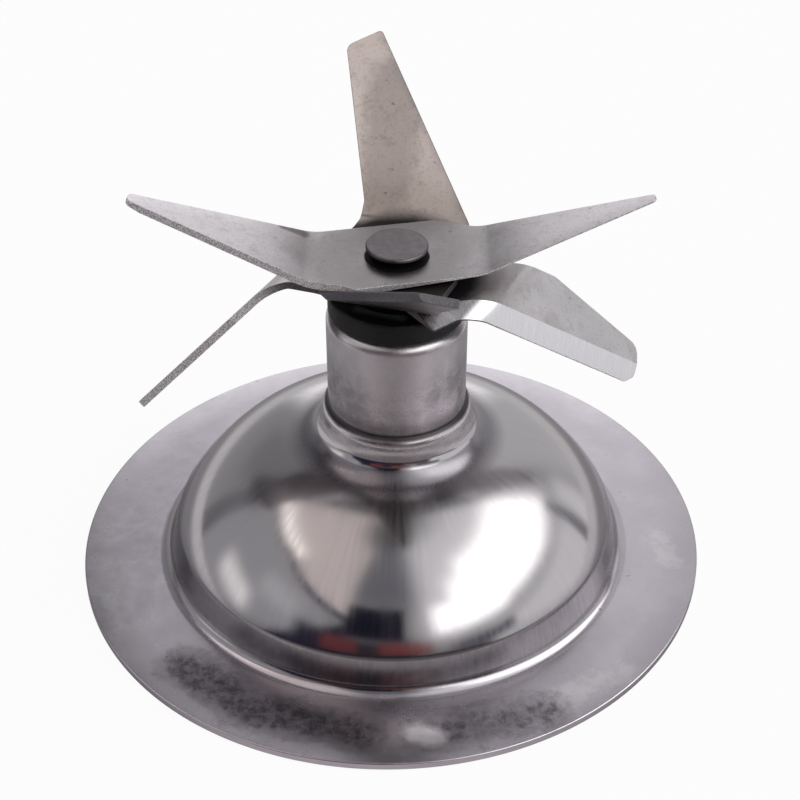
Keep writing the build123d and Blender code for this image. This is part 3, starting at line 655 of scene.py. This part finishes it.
def make_blade(name, top, azimuth, fold_at, rise, bend_r, half, edge, grind, ground_on_top, material):
    """Two-armed plate, the same after half a turn. half is its outline with corner radii:
    ("hub", x, y, r) in plan, or ("arm", u, v, r) on the arm's top, u along the slope from the fold and
    v along the fold.
    edge lists the outline's points that carry the ground edge, from root to tip."""
    az = radians(azimuth)
    across, along = Vector((cos(az), sin(az))), Vector((-sin(az), cos(az)))
    turn = radians(abs(rise))
    trim = bend_r * tan(turn / 2)
    first = fold_at - trim
    length = bend_r * turn

    def flat_point(kind, u, v):
        if kind == "hub":
            return Vector((u, v))
        return across * (first + length - trim + u) + along * v

    points = [flat_point(kind, u, v) for kind, u, v, r in half]
    radii = [r for kind, u, v, r in half]
    rim = round_corners(points + [-p for p in points], radii * 2)
    rim = [p for i, p in enumerate(rim) if (p - rim[i - 1]).length > 0.01]
    edge_points = [flat_point(*half[i][:3]) for i in edge]
    edge_points[0] = edge_points[0] + (edge_points[0] - edge_points[1]).normalized() * RUN_ON_ROOT
    edge_points[-1] = edge_points[-1] + (edge_points[-1] - edge_points[-2]).normalized() * RUN_ON_TIP

    def edge_place(p):
        """Distance along the ground edge of the arm on p's side, and distance from it."""
        if p.dot(across) < 0:
            p = -p
        best, run = None, 0.0
        for a, b in zip(edge_points, edge_points[1:]):
            d = (b - a).normalized()
            t = max(0.0, min((b - a).length, (p - a).dot(d)))
            gap = (p - a - d * t).length
            if best is None or gap < best[1]:
                best = (run + t, gap)
            run += (b - a).length
        return best

    hole = []
    reach = acos(HOLE_FLAT / HOLE_R)
    for turn_k in (0, 1):
        for k in range(HOLE_STEPS + 1):
            t = -pi / 2 + reach + (pi - 2 * reach) * k / HOLE_STEPS + pi * turn_k
            hole.append(Vector((HOLE_R * cos(t), HOLE_R * sin(t))))

    work = bmesh.new()
    lip = RIM_ROUND / BLADE_T
    shells = []
    for inset, level in ((RIM_ROUND, 1.0), (0.3 * RIM_ROUND, 1 - 0.3 * lip), (0.0, 1 - lip), (0.0, lip),
                         (0.3 * RIM_ROUND, 0.3 * lip), (RIM_ROUND, 0.0)):
        shells.append([work.verts.new((p.x, p.y, level)) for p in offset(rim, inset)])
    bores = [[work.verts.new((p.x, p.y, level)) for p in hole] for level in (1.0, 0.0)]
    for upper, lower in list(zip(shells, shells[1:])) + [(bores[0], bores[1])]:
        for i in range(len(upper)):
            work.faces.new((upper[i - 1], upper[i], lower[i], lower[i - 1]))
    for outer, inner in ((shells[0], bores[0]), (shells[-1], bores[1])):
        loops = [work.edges.get((ring[i - 1], ring[i]))
                 for ring in (outer, inner) for i in range(len(ring))]
        bmesh.ops.triangle_fill(work, edges=loops, use_beauty=True)

    cuts = []
    for side in (1, -1):
        cuts += [(across * side * (first + length * k / FOLD_CUTS), across) for k in range(FOLD_CUTS + 1)]
        for i, (a, b) in enumerate(zip(edge_points, edge_points[1:])):
            d = (b - a).normalized()
            inward = Vector((-d.y, d.x))
            cuts.append(((a + inward * grind) * side, inward))
            if i:
                before = (a - edge_points[i - 1]).normalized()
                cuts.append((a * side, (before + d).normalized()))
    for at, normal in cuts:
        bmesh.ops.bisect_plane(work, geom=work.verts[:] + work.edges[:] + work.faces[:], dist=1e-4,
                               plane_co=(at.x, at.y, 0), plane_no=(normal.x, normal.y, 0))
    bmesh.ops.recalc_face_normals(work, faces=work.faces)

    ground = work.faces.layers.float.new("ground")
    sheared = work.faces.layers.float.new("sheared")
    under = work.faces.layers.float.new("under")
    runs = work.verts.layers.float_vector.new("edge_run")
    flat = work.verts.layers.float_vector.new("flat_mm")
    for face in work.faces:
        levels = [v.co.z for v in face.verts]
        on_top, below = min(levels) > 0.99, max(levels) < 0.01
        middle = face.calc_center_median()
        if (on_top and ground_on_top) or (below and not ground_on_top):
            face[ground] = 1.0 if edge_place(Vector((middle.x, middle.y)))[1] < grind else 0.0
        face[sheared] = 0.0 if on_top or below else 1.0
        face[under] = 1.0 if below else 0.0
        face.smooth = True
    deep = BLADE_T - EDGE_LAND
    for vert in work.verts:
        p = Vector((vert.co.x, vert.co.y))
        run, gap = edge_place(p)
        cut = deep * max(0.0, 1 - gap / grind)
        low, high = (-BLADE_T, -cut) if ground_on_top else (-BLADE_T + cut, 0.0)
        h = low + vert.co.z * (high - low)
        vert[runs] = (run, gap, 0.0)
        vert[flat] = (p.x, p.y, vert.co.z)
        s = p.dot(across)
        side = 1 if s >= 0 else -1
        s = abs(s)
        q = s
        if s > first:
            phi = min(s - first, length) / bend_r
            rest = max(0.0, s - first - length)
            if rise > 0:
                q = first + (bend_r - h) * sin(phi) + rest * cos(phi)
                h = bend_r - (bend_r - h) * cos(phi) + rest * sin(phi)
            else:
                q = first + (bend_r + h) * sin(phi) + rest * cos(phi)
                h = -bend_r + (bend_r + h) * cos(phi) - rest * sin(phi)
        p = along * p.dot(along) + across * q * side
        vert.co = Vector((p.x, p.y, top + h)) * MM
    bmesh.ops.remove_doubles(work, verts=work.verts, dist=0.0005 * MM)
    mesh = bpy.data.meshes.new(name)
    work.to_mesh(mesh)
    work.free()
    mesh.set_sharp_from_angle(angle=radians(SHARP_DEGREES))
    mesh.materials.append(material)
    piece = bpy.data.objects.new(name, mesh)
    scene.collection.objects.link(piece)
    return piece


blade_plans = {
    "top_blade": (TOP_Z, 0.0, 7.5, 20.6, 5.0,
                  [("hub", -3.55, -5.95, 0.3), ("arm", 1.2, -3.21, 0), ("arm", 16.3, -0.02, 0.3),
                   ("arm", 16.6, 1.15, 0.5), ("arm", 1.6, 4.55, 1.5), ("hub", 4.7, 5.4, 0.8)],
                  [0, 1, 2], 1.7, False),
    "raised_blade": (RAISED_Z, 76.0, 6.6, 37.0, 1.2,
                     [("hub", 5.23, -3.05, 0.6), ("hub", 6.867, 4.68, 0.3), ("arm", 0.8, -5.0, 0),
                      ("arm", 19.35, 7.0, 0.4), ("arm", 17.2, 10.05, 0.9), ("arm", 1.6, 5.1, 1.0),
                      ("hub", -3.5, 7.0, 0.4), ("hub", -3.9, 5.97, 0.6)],
                     [2, 3], 0.7, False),
    "lower_blade": (LOWER_Z, -27.5, 9.16, -50.0, 3.3,
                    [("hub", 0.0, -4.3, 0.8), ("hub", 3.1, -8.5, 0.25), ("hub", 5.2, -6.8, 1.2),
                     ("arm", 1.7, -1.285, 0), ("arm", 16.08, 10.79, 0.9), ("arm", 16.48, 12.2, 0.9),
                     ("arm", 14.68, 15.0, 1.2), ("arm", 3.42, 10.1, 2.0), ("hub", 9.67, 1.76, 1.0),
                     ("hub", 7.35, 2.48, 1.0), ("hub", 4.7, 3.6, 0.8)],
                    [1, 2, 3, 4], 2.1, True),
}
blade_looks = {
    # the top blade's patch by its fold is a painted dark reflection
    "top_blade": blade_stainless("rolled_stainless_top", "#918d8e", "#e4dfe2",
                                 [((-10.2, 2.9, 1.0), (-8.4, 2.7, 1.0), 1.1, 0.8)]),
    "raised_blade": blade_stainless("rolled_stainless_raised", "#d2c9c2", "#fdf6f2",
                                    [((-1.0, 10.0, 1.0), (0.5, 21.0, 1.0), 5.0, 0.36)], 7.3, 0.85, 0.85),
    "lower_blade": blade_stainless("rolled_stainless_lower", "#a8a2a0", "#dedadb",
                                   [((16.0, -2.0, 1.0), (18.0, -4.0, 1.0), 2.5, 0.2)], 7.4, 0.5),
}
for name, plan in blade_plans.items():
    piece = make_blade("stamped_" + name, *plan, blade_looks[name])
    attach(piece, "rotor")
    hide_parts(name)

# Finishes of the carried-over parts
# painted shade: near black from 30 to 34.42 mm, under the rivet head and on the spacer and shim between
# the plates, with soiling
shaft_steel = turned_metal("dulled_shaft_steel", "#6c686a", "#787476", 0.12, 0.33, 0.008,
                           shade_and_grime=(30.0, 34.42))
bush_bronze = turned_metal("sintered_bronze", "#8a6238", "#b0824c", 0.18, 0.42, 0.02, 0.7)
looks = {
    "shaft": shaft_steel,
    "blade_spacer": shaft_steel,
    "blade_shim": shaft_steel,
    "thrust_washer": turned_metal("ground_washer_steel", "#98979a", "#b5b4b6", 0.15, 0.30, 0.008),
    "drive_coupling": turned_metal("sintered_steel", "#6a686a", "#8b898b", 0.2, 0.48, 0.03, 0.6),
    "upper_bush": bush_bronze,
    "lower_bush": bush_bronze,
    "oil_felt": oiled_felt(),
    "shaft_seal": black_rubber(),
    "seal_washer": dark_green_washer(),
}
for name, mat in looks.items():
    nodes[name].data.materials.clear()
    nodes[name].data.materials.append(mat)

# Camera, for an 800 x 800 frame
FOCAL_PX = 1651.5
CENTRE_PX = (579.2, 413.1)
FRAME_PX = 800.0
SENSOR_MM = 36.0
CLIP_NEAR = 0.005
CAMERA_AT = Vector((0.0, -0.12684, 0.11232))
YAW, PITCH, ROLL = radians(6.31), radians(4.25), radians(4.75)
ahead = -CAMERA_AT.normalized()
side = Vector((1, 0, 0))
above = side.cross(ahead)
gaze = ahead * cos(YAW) * cos(PITCH) + side * sin(YAW) * cos(PITCH) + above * sin(PITCH)
level = gaze.cross(Vector((0, 0, 1))).normalized()
upright = level.cross(gaze)
cam_x = level * cos(ROLL) + upright * sin(ROLL)
cam_y = upright * cos(ROLL) - level * sin(ROLL)
camera = bpy.data.objects.new("camera", bpy.data.cameras.new("camera"))
scene.collection.objects.link(camera)
camera.matrix_world = Matrix.Translation(CAMERA_AT) @ Matrix((cam_x, cam_y, -gaze)).transposed().to_4x4()
camera.data.sensor_width = SENSOR_MM
camera.data.lens = FOCAL_PX / FRAME_PX * SENSOR_MM
camera.data.shift_x = (FRAME_PX / 2 - CENTRE_PX[0]) / FRAME_PX
camera.data.shift_y = (CENTRE_PX[1] - FRAME_PX / 2) / FRAME_PX
camera.data.clip_start = CLIP_NEAR
scene.camera = camera

# Floor
FLOOR_HALF = 1.5
FLOOR_DROP = 0.00002
WHITE_SHARE = 0.94
MIRROR_SHARE = 0.8
SEEN_NEAR, SEEN_FAR = (0.18, 0.18, 0.19, 1.0), (0.62, 0.61, 0.62, 1.0)
SEEN_FRONT, SEEN_DARK = (0.46, 0.43, 0.44, 1.0), (0.05, 0.035, 0.04, 1.0)
floor_mesh = bpy.data.meshes.new("floor")
floor_mesh.from_pydata([(-FLOOR_HALF, -FLOOR_HALF, 0), (FLOOR_HALF, -FLOOR_HALF, 0),
                        (FLOOR_HALF, FLOOR_HALF, 0), (-FLOOR_HALF, FLOOR_HALF, 0)], [], [(0, 1, 2, 3)])
floor = bpy.data.objects.new("floor", floor_mesh)
floor.location.z = -FLOOR_DROP
scene.collection.objects.link(floor)
mat = bpy.data.materials.new("white_sweep")
mat.use_nodes = True
tree = mat.node_tree
tree.nodes.clear()
path = add(tree, "ShaderNodeLightPath")
mirrored = add(tree, MATH, [
    path.outputs["Is Glossy Ray"], path.outputs["Is Transmission Ray"]], operation="MAXIMUM")
share = add(tree, MATH, [
    add(tree, MATH, [path.outputs["Is Camera Ray"], WHITE_SHARE], operation="MULTIPLY"),
    add(tree, MATH, [mirrored, MIRROR_SHARE], operation="MULTIPLY")], operation="MAXIMUM")
matte = add(tree, "ShaderNodeBsdfDiffuse", {"Color": linear("#fafafa")})
# metal sees the floor as painted shade: darker near the object, and darkest in front, a painted shadow
# where the camera stands over it
place = add(tree, "ShaderNodeTexCoord").outputs["Object"]
forward = add(tree, SPLIT, [place]).outputs["Y"]
reach = add(tree, VECTOR, [place], operation="LENGTH")
seen = add(tree, MIX, {
    0: add(tree, RANGE, [reach, 0.045, 0.075], **SMOOTH),
    6: SEEN_NEAR, 7: SEEN_FAR}, **COLOUR)
seen = add(tree, MIX, {
    0: add(tree, RANGE, [forward, -0.020, -0.030], **SMOOTH),
    6: seen, 7: SEEN_FRONT}, **COLOUR)
seen = add(tree, MIX, {
    0: add(tree, RANGE, [forward, -0.037, -0.043], **SMOOTH),
    6: seen, 7: SEEN_DARK}, **COLOUR)
seen = add(tree, MIX, {0: path.outputs["Is Camera Ray"], 6: seen, 7: linear("#ffffff")}, **COLOUR)
glow = add(tree, "ShaderNodeEmission", {"Color": seen, "Strength": 1.0})
mix = add(tree, "ShaderNodeMixShader", [share, matte, glow])
add(tree, "ShaderNodeOutputMaterial", {"Surface": mix})
floor_mesh.materials.append(mat)

# Studio: soft boxes and dark flags round the object, by azimuth from the front to the right and elevation
EL_LOW, EL_HIGH = -10.0, 90.0
COOL = 1.02
world = bpy.data.worlds.new("studio")
scene.world = world
world.use_nodes = True
tree = world.node_tree
tree.nodes.clear()
where = add(tree, "ShaderNodeTexCoord")
unit = add(tree, VECTOR, [where.outputs["Generated"]], operation="NORMALIZE")
xyz = add(tree, SPLIT, [unit])
turn_rad = add(tree, MATH, [
    xyz.outputs["X"],
    add(tree, MATH, [xyz.outputs["Y"], -1.0], operation="MULTIPLY")], operation="ARCTAN2")
azimuth = add(tree, MATH, [turn_rad, degrees(1.0)], operation="MULTIPLY")
elevation = add(tree, MATH, [
    add(tree, MATH, [xyz.outputs["Z"]], operation="ARCSINE"), degrees(1.0)], operation="MULTIPLY")


def ladder(stops):
    """Grey that follows the elevation, through (degrees, radiance) stops."""
    share = add(tree, RANGE, [elevation, EL_LOW, EL_HIGH])
    node = add(tree, "ShaderNodeValToRGB", [share])
    ramp = node.color_ramp
    for i, (at, value) in enumerate(stops):
        spot = ramp.elements[i] if i < 2 else ramp.elements.new(0.5)
        spot.position = (at - EL_LOW) / (EL_HIGH - EL_LOW)
        spot.color = (value, value, value * COOL, 1.0)
    return node


def zone(light, az, el, slope, soft, colour):
    """Soft-edged block of the studio over az and el (low, high), tilted by slope."""
    mid_a, half_a = (az[0] + az[1]) / 2, (az[1] - az[0]) / 2
    mid_e, half_e = (el[0] + el[1]) / 2, (el[1] - el[0]) / 2
    off_a = add(tree, MATH, [azimuth, mid_a], operation="SUBTRACT")
    off_e = add(tree, MATH, [
        add(tree, MATH, [elevation, mid_e], operation="SUBTRACT"),
        add(tree, MATH, [off_a, slope], operation="MULTIPLY")], operation="SUBTRACT")
    in_a = add(tree, RANGE, [
        add(tree, MATH, [off_a], operation="ABSOLUTE"), half_a + soft, half_a - soft], **SMOOTH)
    in_e = add(tree, RANGE, [
        add(tree, MATH, [off_e], operation="ABSOLUTE"), half_e + soft, half_e - soft], **SMOOTH)
    return add(tree, MIX, {
        0: add(tree, MATH, [in_a, in_e], operation="MULTIPLY"),
        6: light, 7: list(colour) + [1.0]}, **COLOUR)


light = ladder([(-10, 0.55), (0, 0.32), (12, 0.30), (30, 0.30), (60, 0.18), (90, 0.10)])
behind = ladder([(-10, 1.2), (29, 1.2), (36, 0.90), (41, 0.32), (46, 0.085), (90, 0.08)])
from_back = add(tree, MATH, [
    180.0, add(tree, MATH, [azimuth], operation="ABSOLUTE")], operation="SUBTRACT")
light = add(tree, MIX, {
    0: add(tree, RANGE, [from_back, 21.0, 13.0], **SMOOTH), 6: light, 7: behind}, **COLOUR)
for block in (
        ((-118, -27), (40, 79), -0.17, 5, (0.68, 0.61, 0.59)),          # upper left bounce
        ((-26, 22), (42, 76), 0.0, 9, (0.16, 0.16, 0.18)),              # above the camera
        ((-30, 22), (74, 96), 0.0, 6, (0.07, 0.07, 0.08)),              # dark overhead
        ((-160, -120), (44, 80), 0.0, 6, (0.09, 0.09, 0.10)),           # dark upper left
        ((-152, -129), (18, 52), 0.0, 5, (0.22, 0.22, 0.23)),           # back left
        ((-120, -36), (-8, 41), -0.14, 2, (0.36, 0.36, 0.38)),          # left wall
        ((-76, -52), (20, 32), 0.0, 6, (0.50, 0.50, 0.52)),             # paler place on it
        ((-98, -76), (6, 17), -0.1, 5, (0.95, 0.94, 0.92)),             # low left light
        ((-117, -71), (46, 51), 0.0, 2, (1.7, 1.6, 1.5)),               # left strip
        ((-114, -80), (41.5, 44.5), 0.0, 1.5, (0.10, 0.10, 0.12)),      # edge of the left wall
        ((-82, -26), (36.2, 39.8), -0.26, 1.5, (0.07, 0.07, 0.09)),     # the same, falling to the front
        ((-124, -115), (-8, 28), 0.0, 2, (0.17, 0.17, 0.18)),           # left post
        ((-130, -115), (27, 43), 0.0, 3, (0.06, 0.06, 0.07)),           # its head
        ((8, 50), (-14, 10), 0.0, 4, (0.07, 0.06, 0.065)),              # low in front, right
        ((-50, 10), (-14, 22), 0.0, 4, (0.03, 0.03, 0.04)),             # low in front
        ((-62, -26), (-10, 18), 0.65, 3, (0.02, 0.02, 0.04)),           # dark wing
        ((-36, -19), (11, 21), 0.0, 2.5, (0.16, 0.045, 0.05)),          # warm glow, left
        ((-8, 17), (13, 21), 0.0, 2.5, (0.22, 0.06, 0.06)),             # warm glow, right
        ((13, 122), (22, 80), 0.0, 10, (0.80, 0.80, 0.81)),             # spill round the key
        ((-27, 4), (22, 40), 0.0, 2, (0.010, 0.011, 0.022)),            # dark flag in front
        ((46, 117), (29, 58), 0.0, 6, (2.3, 2.3, 2.3)),                 # key soft box
        ((33, 100), (29, 50), 0.0, 8, (2.3, 2.3, 2.3)),                 # its slanted left side
        ((19, 60), (24, 39), 0.0, 5, (2.1, 2.1, 2.1)),                  # its lower corner
        ((45, 130), (-8, 19), 0.05, 5, (0.76, 0.76, 0.78)),             # right wall, low
        ((26, 58), (11, 16.5), 0.0, 2, (0.10, 0.10, 0.13)),             # its dark edge
        ((112, 118), (-6, 28), 0.0, 1.5, (0.22, 0.22, 0.24)),           # thin post
        ((133, 163), (-10, 50), 0.0, 5, (0.56, 0.56, 0.57)),            # back right
        ((158, 172), (38, 47), 0.0, 4, (0.58, 0.58, 0.59)),             # pale place behind it
        ((-174, -158), (37, 46), 0.0, 3, (0.15, 0.15, 0.16)),           # dark place on the other side
        ((120, 176), (58, 82), 0.0, 6, (0.11, 0.11, 0.12)),             # dark upper right
        ((125, 131), (30, 64), 0.0, 2.5, (0.15, 0.15, 0.16)),           # right post
        ((150, 166), (66, 73), 0.0, 3, (1.1, 1.1, 1.1))):               # small lamp, back right
    light = zone(light, *block)
path = add(tree, "ShaderNodeLightPath")
final = add(tree, MIX, {0: path.outputs["Is Camera Ray"], 6: light, 7: linear("#ffffff")}, **COLOUR)
back = add(tree, "ShaderNodeBackground", {"Color": final, "Strength": 1.0})
add(tree, "ShaderNodeOutputWorld", {"Surface": back})

scene.view_settings.view_transform = "Standard"
